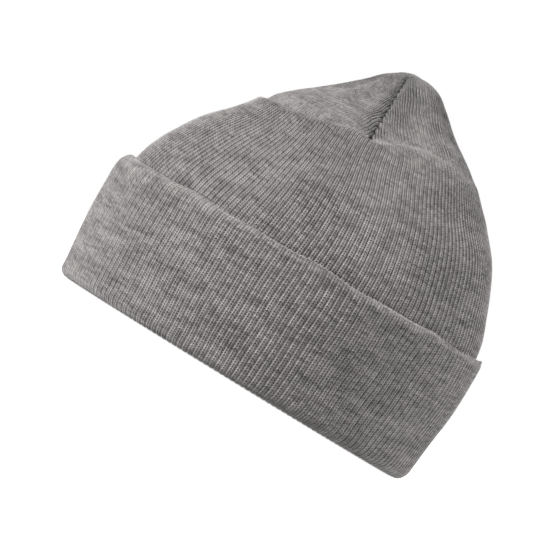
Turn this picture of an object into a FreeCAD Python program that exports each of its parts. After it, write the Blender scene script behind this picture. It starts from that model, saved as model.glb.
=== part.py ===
"""Double-layer knit beanie with a turned-up cuff, as a parametric FreeCAD document.

Frame: millimetres, +Z up. The origin is the centre of the hem, on the plane that the hem rests on.
-Y is the forehead, +Y the nape and +X the wearer's left.

One knitted tube makes the whole hat. Both of its ends are closed by four sewn darts, one end is pushed
inside the other as a lining, and the open edge is turned up as a cuff. A radial line through the cuff
meets, from inside to outside: inner_lining, outer_shell, cuff_backing, cuff_face.
"""
import FreeCAD
import Part
import Sketcher

import math
import os

# Driving dimensions: alias, value in millimetres, meaning.
SIZES = (
    ("hat_height", 182.0, "hem to the tip of the crown"),
    ("cuff_height", 70.0, "hem to the top of the cuff"),
    ("cuff_length", 216.0, "front to back, over the top of the cuff"),
    ("cuff_breadth", 184.0, "side to side, over the top of the cuff"),
    ("hem_length", 208.0, "front to back, over the hem"),
    ("hem_breadth", 178.0, "side to side, over the hem"),
    ("hem_depth", 8.0, "height of the folded hem"),
    ("hem_rounding", 3.0, "radius of the hem's lower edges"),
    ("knit", 2.0, "thickness of one knitted layer"),
    ("layer_gap", 0.3, "air between layers that move together"),
    ("lining_gap", 0.8, "air between shell and lining below the crown"),
    ("slide_gap", 0.5, "air between the cuff and the shell at the hem"),
    ("cuff_ease", 1.4, "how much further the cuff stands off at its top"),
    ("crown_gap", 7.0, "air between shell and lining at the darts"),
    ("crown_lean", 7.3, "largest lean of the crown towards the nape"),
    ("side_darts", -3.0, "where the side darts lie along the hat's length"),
    ("thread", 1.2, "diameter of a dart's seam thread"),
    ("overlock", 2.0, "diameter of the overlocked edge of a dart"),
    ("overlock_gap", 0.8, "air between an overlocked edge and its layer"),
    ("label_width", 24.0, "care label, side to side"),
    ("label_drop", 34.0, "care label, top to bottom"),
    ("label_top", 78.0, "height of the care label's sewn edge"),
    ("label_cloth", 0.8, "thickness of the folded care label"),
    ("label_inset", 1.0, "how far the care label lies inside the hem's inner face"),
)

# Outline of the crown above the cuff, as shares of the crown's height, of the shell's half-length at the
# cuff's top and of crown_lean. It rounds over, turns concave at the darts and ends in a blunt tip.
CROWN = (
    (0.000, 1.000, 0.16),
    (0.080, 0.982, 0.25),
    (0.214, 0.918, 0.42),
    (0.330, 0.855, 0.62),
    (0.490, 0.717, 0.92),
    (0.634, 0.583, 0.94),
    (0.730, 0.447, 1.00),
    (0.821, 0.308, 0.70),
    (0.893, 0.224, 0.63),
    (0.955, 0.153, 0.59),
    (0.988, 0.095, 0.56),
    (1.000, 0.045, 0.55),
)
DART_ROWS = (5, 6, 7, 8, 9)  # rows of CROWN that a dart passes, from its lower to its upper end

# How the cuff's lip rounds over: distance below the cuff's top and distance inwards, as shares of knit.
LIP = ((1.6, 0.0), (0.5, 0.35), (0.0, 1.0))

LABEL_STITCHES = 6
STITCH_SHARE = 0.7  # share of the stitches' pitch that shows as thread
DART_SIDES = {"left": (1, 0), "back": (0, 1), "right": (-1, 0), "front": (0, -1)}

# Distance from the outside of the hem to each face further in, as sheet expressions.
BACKING_OUT = "Sizes.knit + Sizes.layer_gap"
BACKING_IN = "2 * Sizes.knit + Sizes.layer_gap"
SHELL_OUT = "2 * Sizes.knit + Sizes.layer_gap + Sizes.slide_gap"
SHELL_IN = "3 * Sizes.knit + Sizes.layer_gap + Sizes.slide_gap"
LINING_OUT = f"{SHELL_IN} + Sizes.lining_gap"
LINING_IN = f"{LINING_OUT} + Sizes.knit"
NONE = "0 * Sizes.knit"

SKIRT_START = "(Sizes.hem_depth + 2 * Sizes.layer_gap)"  # all layers flare from here up to the cuff's lip
LIP_START = f"(Sizes.cuff_height - {LIP[0][0]} * Sizes.knit)"
LABEL_FACE = f"Sizes.hem_length / 2 - ({LINING_IN}) - Sizes.label_inset"

doc = FreeCAD.newDocument("beanie")


def make_sheet():
    """Spreadsheet of the driving dimensions."""
    made = doc.addObject("Spreadsheet::Sheet", "Sizes")
    for row, (alias, value, meaning) in enumerate(SIZES, start=1):
        made.set(f"A{row}", meaning)
        made.set(f"B{row}", str(value))
        made.setAlias(f"B{row}", alias)
    doc.recompute()
    return made


sheet = make_sheet()


def size(alias):
    """Value of one driving dimension."""
    return float(getattr(sheet, alias))


def oval(name, half_length, half_breadth, height, lean="0"):
    """Ellipse across the hat, its long axis along Y, bound to four sheet expressions."""
    made = doc.addObject("Part::Ellipse", name)
    turn = FreeCAD.Rotation(FreeCAD.Vector(0, 0, 1), 90)
    made.Placement = FreeCAD.Placement(FreeCAD.Vector(), turn)
    made.setExpression("MajorRadius", half_length)
    made.setExpression("MinorRadius", half_breadth)
    made.setExpression("Placement.Base.y", lean)
    made.setExpression("Placement.Base.z", height)
    return made


def loft(name, ovals, ruled=False):
    """Solid through a stack of ovals."""
    made = doc.addObject("Part::Loft", name)
    made.Sections = ovals
    made.Solid = True
    made.Ruled = ruled
    return made


def cut(name, base, tool):
    """base with tool taken away."""
    made = doc.addObject("Part::Cut", name)
    made.Base = base
    made.Tool = tool
    return made


# ---------------------------------------------------------------- crown outline


def crown_normal(row):
    """Unit normal of the outline at a row of CROWN, as (outward, upward)."""
    if row == len(CROWN) - 1:
        return 0.0, 1.0
    radius = size("cuff_length") / 2
    rise = size("hat_height") - size("cuff_height")
    below = CROWN[max(row - 1, 0)]
    above = CROWN[row + 1]
    up = (above[0] - below[0]) * rise
    inward = (below[1] - above[1]) * radius
    length = math.hypot(up, inward)
    return up / length, inward / length


def outside_half(which, share):
    """Half of the cuff's outside length or breadth, at a share of the way from the hem to its widest."""
    return f"(Sizes.hem_{which} * (1 - {share}) + Sizes.cuff_{which} * {share}) / 2"


def crown_half(row, which, inset):
    """Half-length or half-breadth of a row of CROWN, set in by an expression."""
    widest = f"Sizes.cuff_{which} / 2 - ({SHELL_OUT}) - Sizes.cuff_ease"
    return f"{CROWN[row][1]} * ({widest}) - {crown_normal(row)[0]} * ({inset})"


def crown_height(row, inset):
    """Height of a row of CROWN, set in by an expression."""
    rise = f"{CROWN[row][0]} * (Sizes.hat_height - Sizes.cuff_height)"
    return f"Sizes.cuff_height + {rise} - {crown_normal(row)[1]} * ({inset})"


def dome(name, hem_inset, bottom, inset, crown_slack=NONE):
    """Closed dome of one knit face: a straight skirt under the cuff, then the crown, set in by expressions.

    crown_slack is what the inset grows by from the cuff's top up to the darts.
    """
    foot = [f"{outside_half(which, 0)} - ({hem_inset})" for which in ("length", "breadth")]
    skirt = [oval(f"{name}_skirt{step}", *foot, height) for step, height in enumerate((bottom, SKIRT_START))]
    crown = []
    for row, (share_up, _, share_lean) in enumerate(CROWN):
        slack = min(1.0, share_up / CROWN[DART_ROWS[0]][0])
        depth = f"{inset} + {slack} * ({crown_slack})"
        length, breadth = (crown_half(row, which, depth) for which in ("length", "breadth"))
        lean = f"{share_lean} * Sizes.crown_lean"
        crown.append(oval(f"{name}_crown{row}", length, breadth, crown_height(row, depth), lean))
    made = doc.addObject("Part::Fuse", name)
    made.Base = loft(f"{name}_skirt", [*skirt, crown[0]], ruled=True)
    made.Tool = loft(f"{name}_crown", crown)
    return made


def dart_point(side, row, inset):
    """Point of a dart on one side of the crown, set in from the shell's outside by a distance."""
    share_up, share_out, share_lean = CROWN[row]
    outward, upward = crown_normal(row)
    margin = 2 * size("knit") + size("layer_gap") + size("slide_gap") + size("cuff_ease")
    half_length = share_out * (size("cuff_length") / 2 - margin) - outward * inset
    half_breadth = share_out * (size("cuff_breadth") / 2 - margin) - outward * inset
    lean = share_lean * size("crown_lean")
    along = side[1] if side[1] else (size("side_darts") - lean) / half_length
    rise = size("hat_height") - size("cuff_height")
    return FreeCAD.Vector(
        side[0] * half_breadth * math.sqrt(1 - along**2),
        along * half_length + lean,
        size("cuff_height") + share_up * rise - upward * inset,
    )


def dart_tube(side, inset, diameter):
    """Round strand that follows a dart from its lower end to its upper end."""
    route = Part.BSplineCurve()
    route.interpolate([dart_point(side, row, inset) for row in DART_ROWS])
    start = route.value(route.FirstParameter)
    direction = route.tangent(route.FirstParameter)[0]
    ring = Part.Wire([Part.Circle(start, direction, diameter / 2).toShape()])
    return Part.Wire([route.toShape()]).makePipeShell([ring], True, False)


def strand(label, side, inset, diameter):
    """One named strand of a dart, as a feature with its own placement."""
    made = doc.addObject("Part::Feature", label)
    made.Label = label
    made.Shape = dart_tube(side, inset, diameter)
    made.Placement = FreeCAD.Placement()
    return made


def grooves(name, inset):
    """The four channels that the darts draw into a knit face, a little wider than their threads."""
    made = doc.addObject("Part::Feature", name)
    width = size("thread") + 2 * size("layer_gap")
    made.Shape = Part.Compound([dart_tube(side, inset, width) for side in DART_SIDES.values()])
    return made


# ---------------------------------------------------------------- knitted layers


def make_outer_shell():
    """Outside layer of the crown, which runs on down inside the cuff to the hem."""
    bottom = "Sizes.knit + Sizes.layer_gap"
    outside = dome("shell_outside", SHELL_OUT, bottom, NONE)
    inside = dome("shell_inside", SHELL_IN, bottom, "Sizes.knit")
    made = cut("outer_shell", cut("shell_blank", outside, inside), grooves("shell_grooves", 0))
    made.Label = "outer_shell"
    return made


def make_inner_lining():
    """Inside layer, which touches the head. Its crown hangs a little below the shell's."""
    bottom = "Sizes.hem_depth + Sizes.layer_gap"
    slack = "Sizes.crown_gap - Sizes.layer_gap"
    outside = dome("lining_outside", LINING_OUT, bottom, "Sizes.knit + Sizes.layer_gap", slack)
    inside = dome("lining_inside", LINING_IN, bottom, "2 * Sizes.knit + Sizes.layer_gap", slack)
    inset = 2 * size("knit") + size("crown_gap")
    made = cut("inner_lining", cut("lining_blank", outside, inside), grooves("lining_grooves", inset))
    made.Label = "inner_lining"
    return made


def cuff_stack(name, inset, stations):
    """Solid through the cuff's outline, set in by an expression.

    stations are pairs of sheet expressions: a height, and an extra inset at that height.
    """
    ovals = []
    for step, (height, extra) in enumerate(stations):
        share = f"max(0; min(1; ({height} - {SKIRT_START}) / ({LIP_START} - {SKIRT_START})))"
        length, breadth = (
            f"{outside_half(which, share)} - ({inset}) - ({extra})" for which in ("length", "breadth")
        )
        ovals.append(oval(f"{name}{step}", length, breadth, height))
    return loft(name, ovals, ruled=True)


def make_cuff_face():
    """Outermost layer of the cuff, with the rounded lip that closes the cuff's top."""
    foot = ("Sizes.hem_depth + Sizes.layer_gap", NONE)
    lip = [(f"Sizes.cuff_height - {below} * Sizes.knit", f"{inwards} * Sizes.knit") for below, inwards in LIP]
    block = cuff_stack("face_outside", NONE, (foot, *lip))
    pocket = cuff_stack("face_pocket", "Sizes.knit", (foot, ("Sizes.cuff_height - Sizes.knit", NONE)))
    mouth = cuff_stack("face_mouth", BACKING_IN, (foot, ("Sizes.cuff_height", NONE)))
    made = cut("cuff_face", cut("face_wall", block, pocket), mouth)
    made.Label = "cuff_face"
    return made


def make_cuff_backing():
    """Second layer of the cuff, against the shell, from inside the hem up to the face's lip."""
    reach = (
        ("Sizes.knit + Sizes.layer_gap", NONE),
        (SKIRT_START, NONE),
        ("Sizes.cuff_height - Sizes.knit - Sizes.layer_gap", NONE),
    )
    outside = cuff_stack("backing_outside", BACKING_OUT, reach)
    inside = cuff_stack("backing_inside", BACKING_IN, reach)
    made = cut("cuff_backing", outside, inside)
    made.Label = "cuff_backing"
    return made


# ---------------------------------------------------------------- hem and care label, as bodies


def origin_plane(body, role):
    """One of a body's own origin planes."""
    return next(plane for plane in body.Origin.OriginFeatures if plane.Role == role)


def sketch_on(body, name, role, height):
    """Empty sketch on one of the body's origin planes, lifted by a sheet expression."""
    made = body.newObject("Sketcher::SketchObject", name)
    made.AttachmentSupport = [(origin_plane(body, role), "")]
    made.MapMode = "FlatFace"
    made.setExpression("AttachmentOffset.Base.z", height)
    return made


def add_oval(sketch, half_length, half_breadth):
    """Ellipse about the sketch's origin, its long axis along Y, bound to two sheet expressions."""
    long_end = FreeCAD.Vector(0, size("hem_length") / 2, 0)
    short_end = FreeCAD.Vector(size("hem_breadth") / 2, 0, 0)
    curve = sketch.addGeometry(Part.Ellipse(long_end, short_end, FreeCAD.Vector()))
    sketch.exposeInternalGeometry(curve)
    major, minor = curve + 1, curve + 2
    sketch.addConstraint(Sketcher.Constraint("Coincident", curve, 3, -1, 1))
    sketch.addConstraint(Sketcher.Constraint("Vertical", major))
    for line, expression in ((major, half_length), (minor, half_breadth)):
        length = sketch.Geometry[line].length()
        row = sketch.addConstraint(Sketcher.Constraint("Distance", line, 1, line, 2, length))
        sketch.setExpression(f"Constraints[{row}]", f"2 * ({expression})")


def hem_ring(body, name, height, outer_inset, inner_inset):
    """Sketch of the ring between two ovals set in from the outside of the hem."""
    sketch = sketch_on(body, name, "XY_Plane", height)
    for inset in (outer_inset, inner_inset):
        add_oval(sketch, f"Sizes.hem_length / 2 - ({inset})", f"Sizes.hem_breadth / 2 - ({inset})")
    return sketch


def make_hem_fold():
    """Turn of the lining into the cuff: a U-shaped channel that holds the lower edges of the other layers."""
    body = doc.addObject("PartDesign::Body", "hem_fold")
    body.Label = "hem_fold"
    ring = body.newObject("PartDesign::Pad", "hem_ring")
    ring.Profile = hem_ring(body, "hem_ring_sketch", NONE, NONE, LINING_IN)
    ring.setExpression("Length", "Sizes.hem_depth")
    doc.recompute()
    low = [
        f"Edge{number}"
        for number, edge in enumerate(ring.Shape.Edges, start=1)
        if edge.BoundBox.ZMax < size("layer_gap")
    ]
    rounding = body.newObject("PartDesign::Fillet", "hem_rounding")
    rounding.Base = (ring, low)
    rounding.setExpression("Radius", "Sizes.hem_rounding")
    doc.recompute()
    channel = body.newObject("PartDesign::Pocket", "hem_channel")
    channel.Profile = hem_ring(body, "hem_channel_sketch", "Sizes.hem_depth", "Sizes.knit", LINING_OUT)
    channel.setExpression("Length", "Sizes.hem_depth - Sizes.knit")
    body.Tip = channel
    doc.recompute()
    return body


def make_care_label():
    """Blank care label, folded double, hanging inside the nape with its upper edge sewn to the lining."""
    made = doc.addObject("Part::Box", "care_label")
    made.Label = "care_label"
    made.setExpression("Length", "Sizes.label_width")
    made.setExpression("Width", "Sizes.label_cloth")
    made.setExpression("Height", "Sizes.label_drop")
    made.setExpression("Placement.Base.x", "-Sizes.label_width / 2")
    made.setExpression("Placement.Base.y", LABEL_FACE)
    made.setExpression("Placement.Base.z", "Sizes.label_top - Sizes.label_drop")
    return made


def make_label_stitches():
    """Row of stitches through the label's upper edge."""
    stitches = []
    pitch = f"(Sizes.label_width - 2 * Sizes.knit) / {LABEL_STITCHES}"
    for number in range(LABEL_STITCHES):
        stitch = doc.addObject("Part::Box", f"label_stitch{number}")
        stitch.setExpression("Length", f"{STITCH_SHARE} * {pitch}")
        stitch.setExpression("Width", "Sizes.layer_gap")
        stitch.setExpression("Height", "2 * Sizes.layer_gap")
        start = number + (1 - STITCH_SHARE) / 2 - LABEL_STITCHES / 2
        stitch.setExpression("Placement.Base.x", f"({start}) * {pitch}")
        stitch.setExpression("Placement.Base.y", f"{LABEL_FACE} - Sizes.layer_gap")
        stitch.setExpression("Placement.Base.z", "Sizes.label_top - 2 * Sizes.knit")
        stitches.append(stitch)
    made = doc.addObject("Part::Compound", "label_stitches")
    made.Label = "label_stitches"
    made.Links = stitches
    return made


def make_crown_tack():
    """Thread that ties the lining's tip to the shell's tip, so that the lining can't pull out."""
    made = doc.addObject("Part::Cylinder", "crown_tack")
    made.Label = "crown_tack"
    made.setExpression("Radius", "Sizes.thread / 2")
    made.setExpression("Height", "Sizes.crown_gap")
    made.setExpression("Placement.Base.y", f"{CROWN[-1][2]} * Sizes.crown_lean")
    made.setExpression("Placement.Base.z", "Sizes.hat_height - Sizes.knit - Sizes.crown_gap")
    return made


# ---------------------------------------------------------------- the hat


def make_dart_strands():
    """Seam threads and overlocked edges of the four darts in each crown."""
    made = []
    clear = size("overlock_gap") + size("overlock") / 2
    lining_outside = size("knit") + size("crown_gap")
    for side_name, side in DART_SIDES.items():
        made.append(strand(f"shell_seam_{side_name}", side, 0, size("thread")))
        made.append(strand(f"shell_overlock_{side_name}", side, size("knit") + clear, size("overlock")))
        made.append(strand(f"lining_overlock_{side_name}", side, lining_outside - clear, size("overlock")))
        made.append(strand(f"lining_seam_{side_name}", side, lining_outside + size("knit"), size("thread")))
    return made


def check(pieces):
    """Stops if the document or one of the pieces failed to build."""
    for item in doc.Objects:
        if "Invalid" in item.State or "Error" in item.State:
            raise RuntimeError(f"{item.Label} failed: {item.State}")
    for piece in pieces:
        if piece.Shape.isNull() or not piece.Shape.isValid() or not piece.Shape.Solids:
            raise RuntimeError(f"{piece.Label} has no sound solid")


pieces = [
    make_outer_shell(),
    make_inner_lining(),
    make_cuff_face(),
    make_cuff_backing(),
    make_hem_fold(),
    make_care_label(),
    make_label_stitches(),
    make_crown_tack(),
    *make_dart_strands(),
]
doc.recompute()
check(pieces)
os.makedirs("parts", exist_ok=True)
for piece in pieces:
    piece.Shape.exportStep(os.path.join("parts", piece.Label + ".step"))
    print(piece.Label, len(piece.Shape.Solids), "solid(s),", round(piece.Shape.Volume), "mm3")
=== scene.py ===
"""Looks of a double-layer knit beanie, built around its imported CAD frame.

Lengths are in millimetres until a mesh is made. The frame is the CAD's: +Z up, -Y the forehead,
+Y the nape, +X the wearer's left, origin at the centre of the hem.

Every knitted layer is a grid of points: each row runs once round the hat and the rows climb it. Ribs,
darts, ledge, hem and lip are moves of those points along the surface's normal.
"""

import math

import bpy
import numpy as np
from mathutils import Matrix, Vector


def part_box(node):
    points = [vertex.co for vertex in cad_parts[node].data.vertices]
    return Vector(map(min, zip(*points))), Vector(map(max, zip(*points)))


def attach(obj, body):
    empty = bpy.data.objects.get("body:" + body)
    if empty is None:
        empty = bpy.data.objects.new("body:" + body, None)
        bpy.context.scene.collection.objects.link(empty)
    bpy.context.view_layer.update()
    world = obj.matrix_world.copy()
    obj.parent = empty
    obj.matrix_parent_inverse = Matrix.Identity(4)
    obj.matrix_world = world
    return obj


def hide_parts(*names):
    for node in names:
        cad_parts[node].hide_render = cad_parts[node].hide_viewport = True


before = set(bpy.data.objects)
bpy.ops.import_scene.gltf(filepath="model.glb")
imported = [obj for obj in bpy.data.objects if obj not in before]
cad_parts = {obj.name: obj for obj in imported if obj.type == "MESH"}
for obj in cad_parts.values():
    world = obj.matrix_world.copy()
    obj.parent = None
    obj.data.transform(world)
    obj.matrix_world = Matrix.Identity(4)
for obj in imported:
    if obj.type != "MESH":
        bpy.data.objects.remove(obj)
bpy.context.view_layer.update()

MM = 0.001
RIBS = 180
STEPS_PER_RIB = 6
COLUMNS = RIBS * STEPS_PER_RIB
QUARTER = COLUMNS // 4  # columns from one dart to the next
COURSE = 1.39  # height of one row of stitches

# The CAD's own sizes: half-lengths and half-breadths are over the hem and over the cuff's top.
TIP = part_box("outer_shell")[1].z / MM
SHELL_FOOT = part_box("outer_shell")[0].z / MM
LINING_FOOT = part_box("inner_lining")[0].z / MM
CUFF_BREADTH, CUFF_LENGTH, CUFF_TOP = (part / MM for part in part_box("cuff_face")[1])
HEM_BREADTH, HEM_LENGTH, HEM_DEPTH = (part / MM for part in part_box("hem_fold")[1])
LABEL_LOW, LABEL_HIGH = (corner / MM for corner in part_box("care_label"))
SLIMMER = 0.009  # how much slimmer the crown is than the cuff, as a share
SIDE_SHARE = CUFF_BREADTH / CUFF_LENGTH - SLIMMER  # breadth of the crown as a share of its length

KNIT = 2.0  # thickness of a layer
CROWN_GAP = 7.0  # air between shell and lining at the crown
CUFF_EASE = 1.4  # how much further the cuff stands off the shell at its top

# Insets from the cuff's outside to its own inner face, to the shell and to the lining's inner face.
BACKING_IN = 4.3
SHELL_OUT = 4.8
LINING_IN = 9.6

# Outline of the crown from the side: height, forehead, nape. It rounds over, turns concave at the
# darts and ends in a blunt tip that leans to the nape.
OUTLINE = (
    (79.0, -98.2, 101.8),
    (94.6, -90.2, 96.6),
    (107.0, -82.2, 91.5),
    (119.0, -71.2, 84.8),
    (131.6, -60.4, 74.0),
    (138.0, -56.0, 68.4),
    (144.0, -48.9, 62.3),
    (150.0, -39.8, 54.6),
    (156.0, -32.0, 45.8),
    (162.4, -25.1, 36.7),
    (168.6, -18.9, 29.6),
    (174.8, -13.4, 23.2),
    (178.9, -7.8, 18.2),
    (180.9, -2.4, 12.6),
    (181.4, 4.4, 4.6),
)
DART_LOW = 140.5  # heights of a dart's lower and upper end
DART_HIGH = 178.5
SIDE_DARTS = -3.0  # where the side darts lie along the hat's length

CROWDING = 0.6  # 0 where every rib crowds into the tip, 1 where each keeps its width up to the darts

# Seams: the thread's zigzag, and the overlocked edge that lies behind it.
THREAD_RADIUS = 0.28
ZIGZAG_LONG = 3.2
ZIGZAG_WIDE = 0.75
EDGE_BEHIND = 1.9
EDGE_WRAP = 1.5  # distance from one turn of the overlock's thread to the next

# Care label, and the row of stitches that holds it.
RIBBON = 0.22  # thickness
LABEL_CURL = 0.42  # how far the lower corners curl
STITCHES = 6
STITCH_DROP = 3.0  # from the label's upper edge
STITCH_OUT = 1.35  # from the lining's wall
STITCH_RADIUS = 0.3

# Lower edge of a layer, turned back on itself: share of the thickness inwards, height from the edge.
FOOT_ROLL = ((1.0, 4.0), (1.0, 0.8), (0.85, 0.3), (0.5, 0.0), (0.15, 0.3))
FOOT_RISE = 0.8  # height at which the roll meets the layer's face

# Inner edge of the cuff's hem: share of the knit outwards from the lining's face, height above the hem.
HEM_EDGE = ((1.0, HEM_DEPTH - 4), (1.0, HEM_DEPTH - 1.2), (0.7, HEM_DEPTH - 0.2), (0.25, HEM_DEPTH - 0.4))
FACE_SWELL = 0.7  # how far the cuff's face stands proud at half its height
LIP_BACK = 3.0  # height of the lip's inner side
BACK_FOOT = 3.0  # height of the cuff's second layer above the table


# ---------------------------------------------------------------- shapes as grids of points


def smooth_step(value):
    """0 below 0, 1 above 1, and an S in between."""
    value = np.clip(value, 0.0, 1.0)
    return value * value * (3 - 2 * value)


def running_sum(steps):
    """Distance at each point of a line, from the steps between its points."""
    return np.concatenate([[0], np.cumsum(steps)])


def curve_through(knots, values, at):
    """Cubic curve through the values at the knots, read at the positions in at."""
    slopes = np.gradient(values, knots)
    i = np.clip(np.searchsorted(knots, at) - 1, 0, len(knots) - 2)
    span = knots[i + 1] - knots[i]
    t = (at - knots[i]) / span
    rise = (t**3 - 2 * t**2 + t) * slopes[i] + (t**3 - t**2) * slopes[i + 1]
    return values[i] + (3 * t**2 - 2 * t**3) * (values[i + 1] - values[i]) + span * rise


def column_angles():
    """Angle of each column, in even steps along an oval, from the wearer's left towards the nape."""
    fine = np.linspace(0, math.pi / 2, 4001)
    step = np.hypot(SIDE_SHARE * np.sin(fine), np.cos(fine))
    length = running_sum((step[1:] + step[:-1]) / 2)
    share = np.arange(QUARTER) / QUARTER * length[-1]
    quarter = np.interp(share, length, fine)
    next_quarter = math.pi - np.interp(length[-1] - share, length, fine)
    half = np.concatenate([quarter, next_quarter])
    return np.concatenate([half, half + math.pi])


ANGLES = column_angles()
NAPE = (1 + np.sin(ANGLES)) / 2  # 1 at the nape, 0 at the forehead
FOREHEAD = 1 - NAPE
COLUMN = np.arange(COLUMNS)
ACROSS = (COLUMN % QUARTER) / QUARTER  # 0 at one dart, 1 at the next


def ovals(rows):
    """Grid of points from rows of height, forehead, nape and side.

    In the crown, the columns at the hat's sides slide forward to where the side darts lie.
    """
    height, front, back, side = (column[:, None] for column in rows.T)
    middle, half = (front + back) / 2, (back - front) / 2
    target = np.clip((SIDE_DARTS - middle) / np.maximum(half, 1), -0.6, 0.6)
    low = CUFF_TOP + 8
    crown = smooth_step((height - low) / (DART_LOW - low))
    slide = np.arcsin(target * crown) * np.cos(ANGLES) * np.abs(np.cos(ANGLES))
    angle = ANGLES + slide
    return np.stack([side * np.cos(angle), middle + half * np.sin(angle), height + 0 * angle], axis=2)


def normals(grid):
    """Unit normals of a ring grid, outward where its rows climb."""
    across = np.roll(grid, -1, axis=1) - np.roll(grid, 1, axis=1)
    made = np.cross(across, np.gradient(grid, axis=0))
    return made / np.maximum(np.linalg.norm(made, axis=2, keepdims=True), 1e-9)


def moved(grid, distance):
    """Grid moved along its normals by a distance for each point."""
    return grid + normals(grid) * distance[:, :, None]


def waves(grid, seed, wavelength, amplitude):
    """Soft unevenness in space: a sum of nine plane waves of about the given wavelength."""
    draw = np.random.default_rng(seed)
    count = 9
    total = np.zeros(grid.shape[:2])
    for _ in range(count):
        direction = draw.normal(size=3)
        direction *= 2 * math.pi / (wavelength * draw.uniform(0.7, 1.6) * np.linalg.norm(direction))
        total += np.sin(grid @ direction + draw.uniform(0, 2 * math.pi))
    return total * amplitude / math.sqrt(count / 2)


def rib_depth(wale, depth):
    """Depth of the surface below a rib's crest: a round crest and a narrow groove."""
    return depth * np.abs((wale % 1.0) * 2 - 1) ** 2.6


def courses(grid):
    """Course number of each row, from its distance along the surface."""
    steps = np.linalg.norm(np.diff(grid, axis=0), axis=2).mean(1)
    return running_sum(steps) / COURSE


# ---------------------------------------------------------------- meshes


def new_piece(name, points, faces, uv_layers):
    """Smooth-shaded mesh object. faces are index arrays, and a UV layer has one row per face corner."""
    corners = np.concatenate([face.ravel() for face in faces])
    sizes = np.concatenate([np.full(len(face), face.shape[1]) for face in faces])
    starts = np.concatenate([[0], np.cumsum(sizes)[:-1]])
    mesh = bpy.data.meshes.new(name)
    mesh.vertices.add(len(points))
    mesh.vertices.foreach_set("co", (points * MM).astype(np.float32).ravel())
    mesh.loops.add(len(corners))
    mesh.loops.foreach_set("vertex_index", corners.astype(np.int32))
    mesh.polygons.add(len(sizes))
    mesh.polygons.foreach_set("loop_start", starts.astype(np.int32))
    for layer, values in uv_layers.items():
        mesh.uv_layers.new(name=layer).data.foreach_set("uv", values.astype(np.float32).ravel())
    mesh.polygons.foreach_set("use_smooth", np.ones(len(sizes), bool))
    mesh.update(calc_edges=True)
    made = bpy.data.objects.new(name, mesh)
    bpy.context.scene.collection.objects.link(made)
    return made


def uv_rows(corners):
    """UV rows of faces, from one pair of u and v arrays for each corner."""
    return np.stack([np.stack(pair, axis=1) for pair in corners], axis=1).reshape(-1, 2)


def corner_values(left, right, low, high):
    """UV rows of quads from their left, right, lower and upper values."""
    return uv_rows([(left[0], low), (right[0], low), (right[1], high), (left[1], high)])


def ring_piece(name, grid, wales, course, show, closed_top=False):
    """Piece from a ring grid. wales holds the wale coordinate at the left and right edge of each column.

    The layer Knit counts ribs and courses, and the layer OFBake lays the surface out once over a square.
    The attribute relief says how strongly the ribs show at each point, and so how strongly the knit's
    painted light and shade shows.
    """
    rows = len(grid)
    last = rows - 1
    span = rows if closed_top else last
    row, column = (index.ravel() for index in np.mgrid[0:last, 0:COLUMNS])
    after = (column + 1) % COLUMNS
    quads = np.stack([row * COLUMNS + column, row * COLUMNS + after], axis=1)
    quads = np.concatenate([quads, quads[:, ::-1] + COLUMNS], axis=1)
    left, right = wales
    knit = corner_values(
        (left[row, column], left[row + 1, column]),
        (right[row, column], right[row + 1, column]),
        course[row],
        course[row + 1],
    )
    edge = column / COLUMNS
    bake = corner_values((edge, edge), (edge + 1 / COLUMNS,) * 2, row / span, (row + 1) / span)
    points, faces = grid.reshape(-1, 3), [quads]
    if closed_top:
        points = np.vstack([points, points[-COLUMNS:].mean(0)])
        after = (COLUMN + 1) % COLUMNS
        tip = np.full(COLUMNS, len(points) - 1)
        faces.append(np.stack([last * COLUMNS + COLUMN, last * COLUMNS + after, tip], axis=1))
        edge = COLUMN / COLUMNS
        low, high = np.full(COLUMNS, course[-1]), np.full(COLUMNS, course[-1] + 0.5)
        middle = (left[-1] + right[-1]) / 2
        knit = np.vstack([knit, uv_rows([(left[-1], low), (right[-1], low), (middle, high)])])
        low, high = np.full(COLUMNS, last / span), np.ones(COLUMNS)
        fan = [(edge, low), (edge + 1 / COLUMNS, low), (edge + 0.5 / COLUMNS, high)]
        bake = np.vstack([bake, uv_rows(fan)])
    made = new_piece(name, points, faces, {"OFBake": bake, "Knit": knit})
    relief = np.append(show.ravel(), show[-1, 0])[: len(points)]
    attribute = made.data.attributes.new("relief", "FLOAT", "POINT")
    attribute.data.foreach_set("value", relief.astype(np.float32))
    return made


def tube_piece(name, paths, radii, sides=8):
    """Piece of closed round tubes, one for each path of points. radii holds one radius per point."""
    slanting = (0.31, 0.17, 0.93)  # a direction that no path runs along
    turns = np.arange(sides) * 2 * math.pi / sides
    points, quads, caps, bake = [], [], [], []
    count = 0
    for number, path in enumerate(paths):
        along = np.gradient(path, axis=0)
        along /= np.linalg.norm(along, axis=1, keepdims=True)
        side = np.cross(along, slanting)
        side /= np.linalg.norm(side, axis=1, keepdims=True)
        up = np.cross(along, side)
        ring = np.cos(turns)[None, :, None] * side[:, None] + np.sin(turns)[None, :, None] * up[:, None]
        points.append((path[:, None] + ring * radii[:, None, None]).reshape(-1, 3))
        row, turn = (index.ravel() for index in np.mgrid[0 : len(path) - 1, 0:sides])
        after = (turn + 1) % sides
        quads.append(count + np.stack([row * sides + turn, row * sides + after], axis=1))
        quads[-1] = np.concatenate([quads[-1], quads[-1][:, ::-1] + sides], axis=1)
        left = (number + turn / sides * 0.9) / len(paths)
        right = left + 0.9 / sides / len(paths)
        bake.append(corner_values((left, left), (right, right), row / len(path), (row + 1) / len(path)))
        ends = np.arange(sides)
        caps += [count + ends[::-1], count + (len(path) - 1) * sides + ends]
        count += len(path) * sides
    flat = np.zeros((len(caps) * sides, 2))  # the caps take no room on the square
    flat[:, 1] = 0.999
    faces = [np.concatenate(quads), np.array(caps)]
    return new_piece(name, np.concatenate(points), faces, {"OFBake": np.vstack([*bake, flat])})


# ---------------------------------------------------------------- domes: shell and lining


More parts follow.
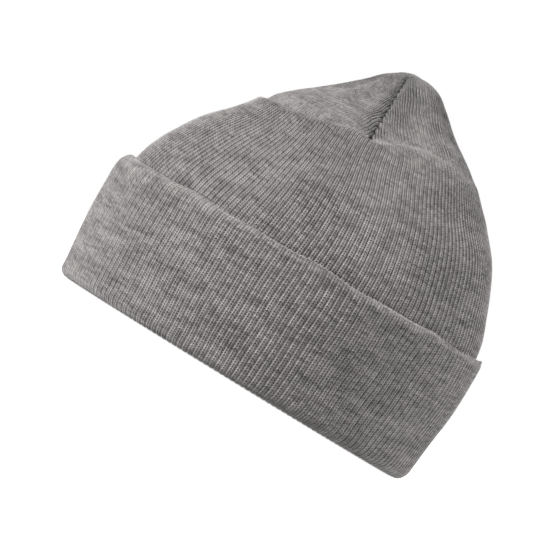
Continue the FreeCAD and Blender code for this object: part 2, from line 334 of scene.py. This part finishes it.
def outline_rows():
    """Outside of the shell as rows of height, forehead, nape and side, from its lower edge to its tip."""
    crown = [(height, front, back, SIDE_SHARE * (back - front) / 2) for height, front, back in OUTLINE]
    foot_length, foot_breadth = HEM_LENGTH - SHELL_OUT, HEM_BREADTH - SHELL_OUT
    top_length = CUFF_LENGTH - SHELL_OUT - CUFF_EASE
    top_breadth = CUFF_BREADTH - SHELL_OUT - CUFF_EASE
    lean = 1.2  # of the cuff's top towards the nape
    skirt = [
        (SHELL_FOOT + FOOT_RISE, -foot_length, foot_length, foot_breadth),
        (HEM_DEPTH, -foot_length, foot_length, foot_breadth),
        (CUFF_TOP, lean - top_length, lean + top_length, top_breadth),
    ]
    middle = np.mean(skirt[1:], axis=0)
    return np.array([*skirt[:2], middle, skirt[2], *crown])


def set_in(rows, depth):
    """Rows set in along the outline's normal by a depth for each row."""
    up = np.gradient(rows[:, 0])
    out = np.gradient((rows[:, 2] - rows[:, 1]) / 2)
    length = np.hypot(up, out)
    outward, upward = up / length, -out / length
    outward[-1], upward[-1] = 0.0, 1.0
    return rows - np.stack([upward * depth, -outward * depth, outward * depth, outward * depth], axis=1)


def resampled(rows, spacing):
    """Rows at even steps along the outline. spacing holds pairs: up to this height, this step."""
    half = (rows[:, 2] - rows[:, 1]) / 2
    along = running_sum(np.hypot(np.diff(rows[:, 0]), np.diff(half)))
    marks = np.zeros(1)
    for height, step in spacing:
        end = np.interp(height, rows[:, 0], along)
        count = max(1, round((end - marks[-1]) / step))
        marks = np.append(marks, np.linspace(marks[-1], end, count + 1)[1:])
    made = np.stack([curve_through(along, column, marks) for column in rows.T], axis=1)
    made[:, 3] = np.maximum(made[:, 3], 0.05)
    return made


def with_foot(rows, thickness):
    """Rows with the layer's lower edge turned back on itself. A negative thickness turns it outwards."""
    turn = []
    for share, up in FOOT_ROLL:
        inward = share * thickness
        turn.append(rows[0] + np.array([up - FOOT_RISE, inward, -inward, -inward]))
    return np.vstack([turn, rows])


def crown_wales(rows):
    """Wale coordinate at the left and right edge of each column.

    Below the darts a rib follows its column. Above, a quarter holds only the ribs that still fit at their
    pitch, so ribs run out into the dart on each side.
    """
    half = (rows[:, 2] - rows[:, 1]) / 2
    crown = rows[:, 0] > DART_LOW
    fits = np.where(crown, np.minimum(1, half / half[~crown][-1]), 1.0)[:, None] ** CROWDING
    middle = RIBS / 4 * (COLUMN // QUARTER + 0.5)
    left = middle + RIBS / 4 * (ACROSS - 0.5) * fits
    return left, left + fits / STEPS_PER_RIB


def dart_distance(grid):
    """Distance of each point from its nearest dart along its row."""
    step = np.linalg.norm(np.roll(grid, -1, axis=1) - grid, axis=2).mean(1)
    return np.minimum(ACROSS, 1 - ACROSS)[None, :] * QUARTER * step[:, None]


def dart_shape(grid, heights, groove):
    """Move along the normal that the four darts give the crown: a groove, and lobes between."""
    distance = dart_distance(grid)
    reach = smooth_step((heights - DART_LOW + 4) / 7) * smooth_step((TIP + 2 - heights) / 7)
    valley = 1.9 * np.exp(-distance / 1.0) + 0.6 * np.exp(-((distance / 4.0) ** 2))
    lobes = 1.2 * np.cos(4 * math.pi * (ACROSS - 0.5)) + 0.4
    lobe_reach = smooth_step((heights - DART_LOW) / 16) * smooth_step((TIP - heights) / 12)
    return -groove * valley * reach[:, None] + lobes * lobe_reach[:, None]


def ledge_level():
    """Height of the ledge at each column."""
    behind = 8.5 * smooth_step((NAPE - 0.48) / 0.24)
    return DART_LOW + behind - 9.5 * smooth_step((FOREHEAD - 0.52) / 0.35)


def knit_relief(grid, heights):
    """How strongly the ribs show: most where the darts draw them up, least over the forehead.

    Below the ledge they show in full, and in the crease above it they nearly fade. The same values set
    how strongly the knit's painted light and shade shows.
    """
    over = heights[:, None] - ledge_level()
    reach = 6.5 + waves(grid, 21, 16.0, 1.6)
    near_dart = np.exp(-((dart_distance(grid) / reach) ** 2))
    crown = 1.15 - 0.8 * smooth_step((FOREHEAD - 0.5) / 0.12)
    crown = crown + (0.7 + 0.6 * NAPE) * near_dart
    crown *= 1 + waves(grid, 22, 11.0, 0.16)
    crease = 0.6 * np.exp(-(((over - 1.5) / 2.0) ** 2)) * (1 - near_dart)
    return (1 + (crown - 1) * smooth_step((over - 1) / 4)) * (1 - crease)


def ledge_shape(heights):
    """Move along the normal at the soft ledge where the crown turns in, strongest at the forehead."""
    below = ledge_level()[None, :] - heights[:, None]
    strength = 1.9 + 0.7 * smooth_step((FOREHEAD - 0.45) / 0.3)
    strength -= 1.2 * smooth_step((NAPE - 0.62) / 0.3)
    return strength * smooth_step((below + 2.0) / 3.5) * np.exp(-np.maximum(below, 0) / 12)


def dome_grid(rows, relief, side, seed):
    """Knit face of a dome and its wales. side is 1 where it is seen from outside and -1 from inside."""
    heights = rows[:, 0]
    grid = ovals(rows)
    above_cuff = smooth_step((heights - 74) / 20)[:, None]
    shape = dart_shape(grid, heights, side) + waves(grid, seed, 55.0, 0.5) * above_cuff
    if side > 0:
        shape += ledge_shape(heights)
    show = knit_relief(grid, heights)
    grid = moved(grid, shape)
    left, right = crown_wales(rows)
    sway = waves(grid, seed + 2, 13.0, 0.2) * smooth_step((heights - DART_LOW) / 6)[:, None]
    left, right = left + sway, right + np.roll(sway, -1, axis=1)
    fade = np.interp(heights, (80, DART_LOW, TIP - 7, TIP - 2), (1.0, 0.8, 0.6, 0.0))[:, None]
    return moved(grid, -side * rib_depth(left, relief * fade * show)), (left, right), show


def make_shell():
    """Outside layer of the hat, and its knit face."""
    steps = ((HEM_DEPTH, 6.0), (CUFF_TOP, 5.0), (DART_LOW - 14, 2.4), (DART_LOW + 2, 1.1), (TIP, 0.8))
    rows = with_foot(resampled(outline_rows(), steps), KNIT)
    grid, wales, show = dome_grid(rows, 0.9, 1, 3)
    made = ring_piece("outer_shell_knit", grid, wales, courses(grid), show, closed_top=True)
    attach(made, "hat")
    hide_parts("outer_shell")
    return made, grid


def make_lining():
    """Inside layer, whose ribs face the head, and its knit face."""
    rows = outline_rows()
    slack = 2 * KNIT + CROWN_GAP - (LINING_IN - SHELL_OUT)
    rows = set_in(rows, LINING_IN - SHELL_OUT + slack * smooth_step((rows[:, 0] - CUFF_TOP) / 70))
    rows[:2, 0] = LINING_FOOT + FOOT_RISE, LINING_FOOT + 2.0
    steps = ((CUFF_TOP, 5.0), (DART_LOW - 14, 2.8), (rows[-1, 0], 1.3))
    rows = with_foot(resampled(rows, steps), -KNIT)
    grid, wales, show = dome_grid(rows, 1.0, -1, 5)
    made = ring_piece("inner_lining_knit", grid, wales, courses(grid), show, closed_top=True)
    made.data.flip_normals()
    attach(made, "hat")
    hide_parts("inner_lining")
    return made, grid


# ---------------------------------------------------------------- cuff


def cuff_section():
    """Section of the turned-up cuff at each column, as grids of inset and height.

    It runs from the inner edge of the hem, down round the hem, up the face, over the lip and down behind.
    The lip is rounder over the forehead and the hem's outer corner is rounder at the nape.
    """
    top = CUFF_TOP + 0.4 + 3.4 * NAPE + 0.45 * np.sin(9 * ANGLES + 1.0) + 0.3 * np.sin(17 * ANGLES)
    hem_wide = LINING_IN / 2 + 1.2 * NAPE
    hem_high = 5.0 + 3.5 * NAPE
    lip_wide = 2.6 + 1.6 * FOREHEAD**2
    lip_high = 4.0 + 9.0 * FOREHEAD**4
    behind = BACKING_IN + 0.2 - lip_wide
    edge_out, edge_up = np.array(HEM_EDGE).T[:, :, None]
    hem_inner = HEM_EDGE[1][1]
    turn = np.linspace(0, math.pi / 2, 9)[:, None]
    near, far = 1 - np.cos(turn), 1 - np.sin(turn)
    face = np.linspace(0, 1, 44)[1:-1, None]
    back = np.linspace(1, 0, 9)[1:, None]
    stretches = (
        (LINING_IN - KNIT * edge_out, edge_up),
        (LINING_IN - (LINING_IN - hem_wide) * near, hem_inner * far),
        (hem_wide * far[1:], hem_high * near[1:]),
        (-FACE_SWELL * np.sin(math.pi * face), hem_high + (top - lip_high - hem_high) * face),
        (lip_wide * near, top - lip_high * far),
        (lip_wide + behind * np.sin(turn[1:]), top - LIP_BACK * near[1:]),
        (BACKING_IN + 0.2 * back, (top - LIP_BACK) * back + BACK_FOOT * (1 - back)),
    )
    whole = [np.broadcast_arrays(inset, height, ANGLES)[:2] for inset, height in stretches]
    return tuple(np.vstack(side) for side in zip(*whole))


def make_cuff():
    """The turned-up cuff with its rolled hem and lip."""
    inset, height = cuff_section()
    rise = np.clip((height - HEM_DEPTH) / (CUFF_TOP - 4 - HEM_DEPTH), 0, 1)
    length = HEM_LENGTH + (CUFF_LENGTH - HEM_LENGTH) * rise - inset
    breadth = HEM_BREADTH + (CUFF_BREADTH - HEM_BREADTH) * rise - inset
    grid = np.stack([breadth * np.cos(ANGLES), length * np.sin(ANGLES), height], axis=2)
    outside = smooth_step((BACKING_IN / 2 - inset) / 1.5) * np.clip(height / 30, 0, 1)
    grid = moved(grid, waves(grid, 11, 48.0, 0.4) * outside)
    ripple = 0.10 * np.sin(2 * math.pi * height / 88 + 2 * ANGLES)
    ripple += 0.06 * np.sin(2 * math.pi * height / 37 + 7 * ANGLES)
    ripple += 0.45 * np.clip(1 - height / HEM_DEPTH, 0, 1) ** 1.5 * np.sin(ANGLES + 0.6)
    left = COLUMN / STEPS_PER_RIB + ripple
    right = (COLUMN + 1) / STEPS_PER_RIB + np.roll(ripple, -1, axis=1)
    show = 0.45 + 0.55 * smooth_step(height / 6) * smooth_step((CUFF_TOP + 3 * NAPE - height) / 4)
    show *= 1 - 0.45 * smooth_step((FOREHEAD - 0.86) / 0.12)
    grid = moved(grid, -rib_depth(left, 0.8 * show))
    made = ring_piece("turned_up_cuff", grid, (left, right), courses(grid), show)
    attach(made, "cuff")
    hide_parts("cuff_face", "cuff_backing", "hem_fold")
    return made


# ---------------------------------------------------------------- darts and label


def dart_line(grid, side_number, low, high):
    """Bottom of one dart's groove and the sideways direction along it, between two heights."""
    column = side_number * QUARTER
    line = grid[:, column]
    use = (line[:, 2] > low) & (line[:, 2] < high) & (np.arange(len(line)) > len(FOOT_ROLL) + 2)
    sideways = grid[use, (column + 1) % COLUMNS] - grid[use, column - 1]
    sideways /= np.linalg.norm(sideways, axis=1, keepdims=True)
    return line[use], sideways, normals(grid)[use, column]


def spread(values, count):
    """Rows of points taken at count even steps."""
    at = np.linspace(0, len(values) - 1, count)
    return np.stack([np.interp(at, np.arange(len(values)), column) for column in values.T], axis=1)


def make_dart_strands(grid, layer, low, high, outside):
    """Seam thread and overlocked edge of each of a layer's four darts.

    outside is 1 where the grid's normals point at the face that is seen, and -1 where they point away.
    """
    made = []
    count = 121
    for number, side_name in enumerate(("left", "back", "right", "front")):
        line, sideways, normal = (spread(part, count) for part in dart_line(grid, number, low, high))
        length = running_sum(np.linalg.norm(np.diff(line, axis=0), axis=1))
        swing = np.sin(2 * math.pi * length / ZIGZAG_LONG)[:, None]
        seam = line + normal * outside * (0.25 + 0.35 * swing**2) + sideways * ZIGZAG_WIDE * swing
        thread = tube_piece(f"{layer}_dart_thread_{side_name}", [seam], np.full(count, THREAD_RADIUS))
        wrap = 0.75 + 0.25 * np.abs(np.sin(math.pi * length / EDGE_WRAP))
        edge = line - normal * outside * EDGE_BEHIND
        overlock = tube_piece(f"{layer}_dart_edge_{side_name}", [edge], wrap, sides=10)
        for piece, kind in ((thread, "seam"), (overlock, "overlock")):
            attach(piece, "hat")
            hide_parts(f"{layer}_{kind}_{side_name}")
            piece.data.materials.append(THREAD)
            made.append(piece)
    return made


def label_sheet(nape, half_width):
    """Grid of points of the folded label, which hangs down the lining and stands off it further below."""
    down = np.linspace(0, 1, 25)
    level = LABEL_HIGH.z - (LABEL_HIGH.z - LABEL_LOW.z) * down
    wall = np.interp(level, nape[:, 2], nape[:, 1])
    stand = 0.9 + 1.6 * down**1.5
    front = np.stack([wall - stand - 0.45, level], axis=1)
    back = np.stack([wall - stand + 0.1 * (1 - down), level], axis=1)[::-1]
    bend = np.linspace(0, math.pi, 9)[1:-1]
    middle, half = (front[-1, 0] + back[0, 0]) / 2, (back[0, 0] - front[-1, 0]) / 2
    turn = np.stack([middle - half * np.cos(bend), front[-1, 1] - 0.5 * np.sin(bend)], axis=1)
    section = np.vstack([front, turn, back])
    across = np.linspace(-1, 1, 13)
    x = across * half_width
    sag = 1 - np.sqrt(1 - (x / (CUFF_BREADTH - LINING_IN)) ** 2)
    low = np.interp(section[:, 1], (LABEL_LOW.z, LABEL_HIGH.z), (1.0, 0.0))[:, None]
    y = section[:, :1] - sag * CUFF_LENGTH + LABEL_CURL * across**2 * low
    return np.stack(np.broadcast_arrays(x, y, section[:, 1:]), axis=2)


def label_stitches(nape, half_width):
    """Path of each stitch in the row that holds the label."""
    level = LABEL_HIGH.z - STITCH_DROP
    wall = np.interp(level, nape[:, 2], nape[:, 1])
    lift = 0.35 * np.sin(np.linspace(0, math.pi, 9))
    paths = []
    for number in range(STITCHES):
        start = (number + 0.15) / STITCHES * 2 - 1
        x = (start + np.linspace(0, 1.4 / STITCHES, 9)) * half_width * 0.92
        sag = 1 - np.sqrt(1 - (x / CUFF_BREADTH) ** 2)
        y = wall - STITCH_OUT - lift - CUFF_LENGTH * sag
        paths.append(np.stack([x, y, np.full(9, level)], axis=1))
    return paths


def make_label(grid):
    """Folded care label against the lining at the nape, with its row of stitches."""
    half_width = (LABEL_HIGH.x - LABEL_LOW.x) / 2
    nape = grid[len(FOOT_ROLL) :, QUARTER]
    label = slab_piece("care_label_ribbon", label_sheet(nape, half_width), RIBBON)
    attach(label, "hat")
    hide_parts("care_label")
    label.data.materials.append(ribbon_material())
    paths = label_stitches(nape, half_width)
    stitches = tube_piece("care_label_stitching", paths, np.full(len(paths[0]), STITCH_RADIUS))
    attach(stitches, "hat")
    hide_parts("label_stitches")
    stitches.data.materials.append(THREAD)


def slab_piece(name, grid, thickness):
    """Closed thin sheet on both sides of an open grid of points."""
    rows, columns = grid.shape[:2]
    along, across = np.gradient(grid, axis=0), np.gradient(grid, axis=1)
    normal = np.cross(across, along)
    normal /= np.linalg.norm(normal, axis=2, keepdims=True)
    number = np.arange(rows * columns).reshape(rows, columns)
    corners = number[:-1, :-1], number[:-1, 1:], number[1:, 1:], number[1:, :-1]
    front = np.stack(corners, axis=2).reshape(-1, 4)
    back = front[:, ::-1] + rows * columns
    ring = np.concatenate([number[0, :-1], number[:-1, -1], number[-1, :0:-1], number[:0:-1, 0]])
    after = np.roll(ring, -1)
    rim = np.stack([after, ring, ring + rows * columns, after + rows * columns], axis=1)
    row, column = (index.ravel() for index in np.mgrid[0 : rows - 1, 0 : columns - 1])
    left, low = column / columns * 0.48, row / rows * 0.9
    wide, high = 0.48 / columns, 0.9 / rows
    side = corner_values((left, left), (left + wide, left + wide), low, low + high)
    edge = np.tile(np.array([0.0, 0.95]), (rim.size, 1))
    bake = np.vstack([side, side[::-1] + (0.5, 0.0), edge])
    half = normal * thickness / 2
    points = np.vstack([(grid + half).reshape(-1, 3), (grid - half).reshape(-1, 3)])
    return new_piece(name, points, [front, back, rim], {"OFBake": bake})


# ---------------------------------------------------------------- materials


class Nodes:
    """Short hand for building a material's nodes."""

    def __init__(self, name):
        self.material = bpy.data.materials.new(name)
        self.material.use_nodes = True
        self.tree = self.material.node_tree
        self.tree.nodes.clear()

    def add(self, kind, inputs=None, **settings):
        """New node with its settings, and its inputs linked or set."""
        node = self.tree.nodes.new(kind)
        for key, value in settings.items():
            setattr(node, key, value)
        for key, value in (inputs or {}).items():
            if isinstance(value, bpy.types.NodeSocket):
                self.tree.links.new(value, node.inputs[key])
            else:
                node.inputs[key].default_value = value
        return node

    def math(self, operation, *values, clamp=False):
        """Output of a math node."""
        inputs = dict(enumerate(values))
        return self.add("ShaderNodeMath", inputs, operation=operation, use_clamp=clamp).outputs[0]

    def ramp(self, value, low, high, to_low=0.0, to_high=1.0):
        """Value carried smoothly from one range to another."""
        inputs = {0: value, 1: low, 2: high, 3: to_low, 4: to_high}
        return self.add("ShaderNodeMapRange", inputs, interpolation_type="SMOOTHSTEP").outputs[0]

    def mix(self, share, low, high):
        """Mix of two colours."""
        return self.add("ShaderNodeMix", {0: share, 6: low, 7: high}, data_type="RGBA").outputs[2]

    def noise(self, place, scale, detail=2.0, roughness=0.5):
        """Noise value less a half, so that it swings about 0."""
        inputs = {"Vector": place, "Scale": scale, "Detail": detail, "Roughness": roughness}
        return self.math("SUBTRACT", self.add("ShaderNodeTexNoise", inputs).outputs[0], 0.5)

    def place(self, *scale):
        """Position on the piece, in metres, scaled along each axis."""
        position = self.add("ShaderNodeTexCoord").outputs["Object"]
        return self.add("ShaderNodeVectorMath", {0: position, 1: scale}, operation="MULTIPLY").outputs[0]

    def cell(self, x, y):
        """Random value that is the same all over a stitch."""
        where = self.add("ShaderNodeCombineXYZ", {0: x, 1: y}).outputs[0]
        value = self.add("ShaderNodeTexWhiteNoise", {"Vector": where}, noise_dimensions="3D").outputs[0]
        return self.math("SUBTRACT", value, 0.5)

    def finish(self, **inputs):
        """Principled surface with the given inputs, and the finished material."""
        named = {key.replace("_", " "): value for key, value in inputs.items()}
        shader = self.add("ShaderNodeBsdfPrincipled", named)
        self.add("ShaderNodeOutputMaterial", {0: shader.outputs[0]})
        return self.material


def knit_material(name, dark, light, start):
    """Heather rib knit, from the rib and course coordinates.

    Each rib shows the two legs of its stitches as strokes lit by a painted highlight, small holes between
    the legs and a groove beside them darkened by painted shade, and heather yarn that turns lighter and
    darker along the courses.
    """
    n = Nodes(name)
    uv = n.add("ShaderNodeUVMap", uv_map="Knit").outputs[0]
    wale, course = n.add("ShaderNodeSeparateXYZ", {0: uv}).outputs[:2]
    # relief sets how strongly the painted light and shade of the ribs shows.
    relief = n.add("ShaderNodeAttribute", attribute_name="relief").outputs["Fac"]
    off = n.math("ABSOLUTE", n.math("SUBTRACT", n.math("FRACT", wale), 0.5))
    slanted = n.math("MULTIPLY_ADD", off, 1.7, n.math("ADD", course, start))
    bead = n.math("MULTIPLY_ADD", n.math("COSINE", n.math("MULTIPLY", slanted, 2 * math.pi)), 0.5, 0.5)
    gap = n.math("SUBTRACT", 1.0, bead)
    leg = n.ramp(n.math("ABSOLUTE", n.math("SUBTRACT", off, 0.22)), 0.03, 0.17, 1.0, 0.0)
    hole = n.math("MULTIPLY", n.ramp(off, 0.02, 0.14, 1.0, 0.0), gap)
    groove = n.ramp(off, 0.32, 0.46)
    row, rib = n.math("FLOOR", slanted), n.math("FLOOR", wale)
    level = n.math("MULTIPLY_ADD", off, 0.5, n.math("ADD", course, start))
    fine, broad = (
        n.add("ShaderNodeCombineXYZ", {0: n.math("MULTIPLY", wale, x), 1: n.math("MULTIPLY", level, y)})
        for x, y in ((0.24, 0.85), (0.07, 0.20))
    )
    fibre = n.noise(n.place(1.0, 1.0, 1.0), 2100.0, 2.0, 0.7)
    tone = n.math("MULTIPLY_ADD", n.noise(fine.outputs[0], 1.0, 2.0, 0.6), 1.25, 0.5)
    tone = n.math("MULTIPLY_ADD", n.noise(broad.outputs[0], 1.0, 2.0, 0.5), 0.9, tone)
    tone = n.math("MULTIPLY_ADD", n.cell(rib, row), 0.5, tone)
    tone = n.math("MULTIPLY_ADD", fibre, 1.0, tone, clamp=True)
    # Noise that makes the painted shade in the grooves patchy.
    uneven = n.math("MULTIPLY_ADD", n.noise(n.place(1.0, 1.0, 0.5), 150.0, 2.0, 0.5), 3.0, 0.95)
    # Painted light and shade, as a factor on the colour: a painted highlight on each leg and on the top of
    # each stitch, painted shade between the stitches and in the holes between the legs.
    shade = n.math("MULTIPLY_ADD", leg, 0.40, 0.70)
    shade = n.math("MULTIPLY", shade, n.math("MULTIPLY_ADD", gap, -0.42, 1.16))
    shade = n.math("MULTIPLY", shade, n.math("MULTIPLY_ADD", hole, -0.60, 1.0))
    # Painted shade in the groove: darker between the stitches and where the relief is strong.
    groove_shade_share = n.math("MULTIPLY_ADD", gap, 0.42, n.ramp(relief, 1.0, 2.0, 0.16, 0.7))
    painted_groove_shade = n.math("MULTIPLY", n.math("MULTIPLY", groove, groove_shade_share), uneven)
    shade = n.math("MULTIPLY", shade, n.math("SUBTRACT", 1.0, painted_groove_shade, clamp=True))
    # The relief sets how strongly the painted light and shade shows; where the ribs fade it evens out.
    visible = n.math("MINIMUM", relief, 1.5)
    smooth = 0.63  # shade where the ribs have faded
    shade = n.math("MULTIPLY_ADD", n.math("SUBTRACT", shade, smooth), visible, smooth)
    # The painted shade mixes the heather towards near-black.
    colour = n.mix(shade, (0.010, 0.009, 0.009, 1.0), n.mix(tone, dark, light))
    lift = n.math("MULTIPLY_ADD", leg, 0.5, n.math("MULTIPLY", fibre, 0.4))
    lift = n.math("MULTIPLY_ADD", n.math("MULTIPLY", bead, leg), 0.5, lift)
    lift = n.math("MULTIPLY", n.math("MULTIPLY_ADD", hole, -0.6, lift), visible)
    bump = n.add("ShaderNodeBump", {"Strength": 0.9, "Distance": 0.0007, "Height": lift}).outputs[0]
    return n.finish(
        Base_Color=colour,
        Roughness=n.math("MULTIPLY_ADD", fibre, 0.2, 0.88),
        Normal=bump,
        Specular_IOR_Level=0.15,
        Sheen_Weight=0.55,
        Sheen_Roughness=0.4,
        Sheen_Tint=(0.95, 0.92, 0.91, 1.0),
    )


def thread_material():
    """Spun polyester sewing thread."""
    n = Nodes("sewing_thread")
    twist = n.noise(n.place(1.0, 1.0, 2.5), 1500.0, 2.0, 0.6)
    tone = n.math("ADD", twist, 0.5, clamp=True)
    bump = n.add("ShaderNodeBump", {"Strength": 0.7, "Distance": 0.0002, "Height": twist}).outputs[0]
    return n.finish(
        Base_Color=n.mix(tone, (0.05, 0.047, 0.047, 1.0), (0.16, 0.15, 0.148, 1.0)),
        Roughness=n.math("MULTIPLY_ADD", twist, 0.3, 0.7),
        Normal=bump,
        Sheen_Weight=0.2,
    )


def ribbon_material():
    """Blank satin ribbon with a fine weave."""
    n = Nodes("label_ribbon")
    weave = n.noise(n.place(1.0, 1.0, 6.0), 2600.0, 1.0, 0.5)
    tone = n.math("ADD", weave, 0.5, clamp=True)
    bump = n.add("ShaderNodeBump", {"Strength": 0.35, "Distance": 0.0001, "Height": weave}).outputs[0]
    return n.finish(
        Base_Color=n.mix(tone, (0.60, 0.59, 0.57, 1.0), (0.78, 0.77, 0.75, 1.0)),
        Roughness=n.math("MULTIPLY_ADD", weave, 0.25, 0.42),
        Normal=bump,
    )


def floor_material():
    """White acrylic table, lit through from below."""
    n = Nodes("pale_floor")
    grain = n.noise(n.place(1.0, 1.0, 1.0), 30.0, 2.0, 0.5)
    tone = n.math("ADD", grain, 0.5, clamp=True)
    return n.finish(
        Base_Color=n.mix(tone, (0.68, 0.68, 0.68, 1.0), (0.70, 0.70, 0.70, 1.0)),
        Roughness=0.9,
        Specular_IOR_Level=0.1,
        Emission_Color=(1.0, 1.0, 1.0, 1.0),
        Emission_Strength=0.75,
    )


# ---------------------------------------------------------------- stage


def make_floor():
    """Round pale floor just under the hem, hidden from diffuse rays so that it doesn't light the hat."""
    bpy.ops.mesh.primitive_circle_add(vertices=96, radius=6.0, fill_type="NGON", location=(0, 0, -0.0005))
    floor = bpy.context.object
    floor.name = "floor"
    floor.data.materials.append(floor_material())
    floor.visible_diffuse = False


def make_light(name, place, size, power):
    """Square area light aimed at the middle of the hat."""
    data = bpy.data.lights.new(name, "AREA")
    data.size, data.energy = size, power
    made = bpy.data.objects.new(name, data)
    bpy.context.scene.collection.objects.link(made)
    made.location = place
    made.rotation_euler = (Vector((0, 0, 0.09)) - Vector(place)).to_track_quat("-Z", "Y").to_euler()


def make_world():
    """Soft white surroundings, brightest above the forehead, with a white backdrop behind the hat."""
    world = bpy.data.worlds.new("studio")
    bpy.context.scene.world = world
    world.use_nodes = True
    tree = world.node_tree

    def add(kind, **values):
        node = tree.nodes.new(kind)
        for key, value in values.items():
            socket = node.inputs[int(key[1:])]
            if isinstance(value, bpy.types.NodeSocket):
                tree.links.new(value, socket)
            else:
                socket.default_value = value
        return node

    direction = add("ShaderNodeTexCoord").outputs["Generated"]
    toward = add("ShaderNodeVectorMath", i0=direction, i1=(0.25, -0.75, 0.6))
    toward.operation = "DOT_PRODUCT"
    glow = add("ShaderNodeMapRange", i0=toward.outputs["Value"], i1=-0.9, i2=1.0, i3=0.34, i4=0.88)
    seen = add("ShaderNodeLightPath").outputs["Is Camera Ray"]
    strength = add("ShaderNodeMapRange", i0=seen, i3=glow.outputs[0], i4=1.0)
    background = tree.nodes["Background"]
    background.inputs[0].default_value = (1.0, 1.0, 1.0, 1.0)
    tree.links.new(strength.outputs[0], background.inputs[1])


def make_camera():
    """Long lens, level with the hat and square to its left side, rolled so that the crown leans right."""
    data = bpy.data.cameras.new("camera")
    data.lens = 505
    data.clip_start, data.clip_end = 0.1, 100
    made = bpy.data.objects.new("camera", data)
    bpy.context.scene.collection.objects.link(made)
    bpy.context.scene.camera = made
    distance, roll = 4.0, math.radians(31.5)
    aim = Vector((0, -0.0063, 0.0564))
    upright = Matrix.Rotation(math.radians(90), 4, "Z") @ Matrix.Rotation(math.radians(90), 4, "X")
    place = Matrix.Translation(aim + Vector((distance, 0, 0)))
    made.matrix_world = place @ upright @ Matrix.Rotation(roll, 4, "Z")


make_camera()
THREAD = thread_material()
GREY_DARK, GREY_LIGHT = (0.15, 0.140, 0.138, 1.0), (0.52, 0.495, 0.488, 1.0)
shell, shell_grid = make_shell()
lining, lining_grid = make_lining()
cuff = make_cuff()
knits = (shell, "shell_knit"), (lining, "lining_knit"), (cuff, "cuff_knit")
for number, (piece, name) in enumerate(knits):
    piece.data.materials.append(knit_material(name, GREY_DARK, GREY_LIGHT, 70 * number))
shell_strands = make_dart_strands(shell_grid, "shell", DART_LOW, DART_HIGH, 1)
lining_high = lining_grid[-1, 0, 2] - 2.5
lining_strands = make_dart_strands(lining_grid, "lining", DART_LOW - 12, lining_high, -1)
make_label(lining_grid)
crown_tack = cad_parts["crown_tack"]
crown_tack.data.materials.clear()
crown_tack.data.materials.append(THREAD)
make_floor()
make_world()
make_light("key", (1.4, -2.5, 1.5), 1.2, 95.0)
make_light("rim", (-0.5, 2.7, 1.3), 1.0, 62.0)
bpy.context.scene.view_settings.view_transform = "Standard"
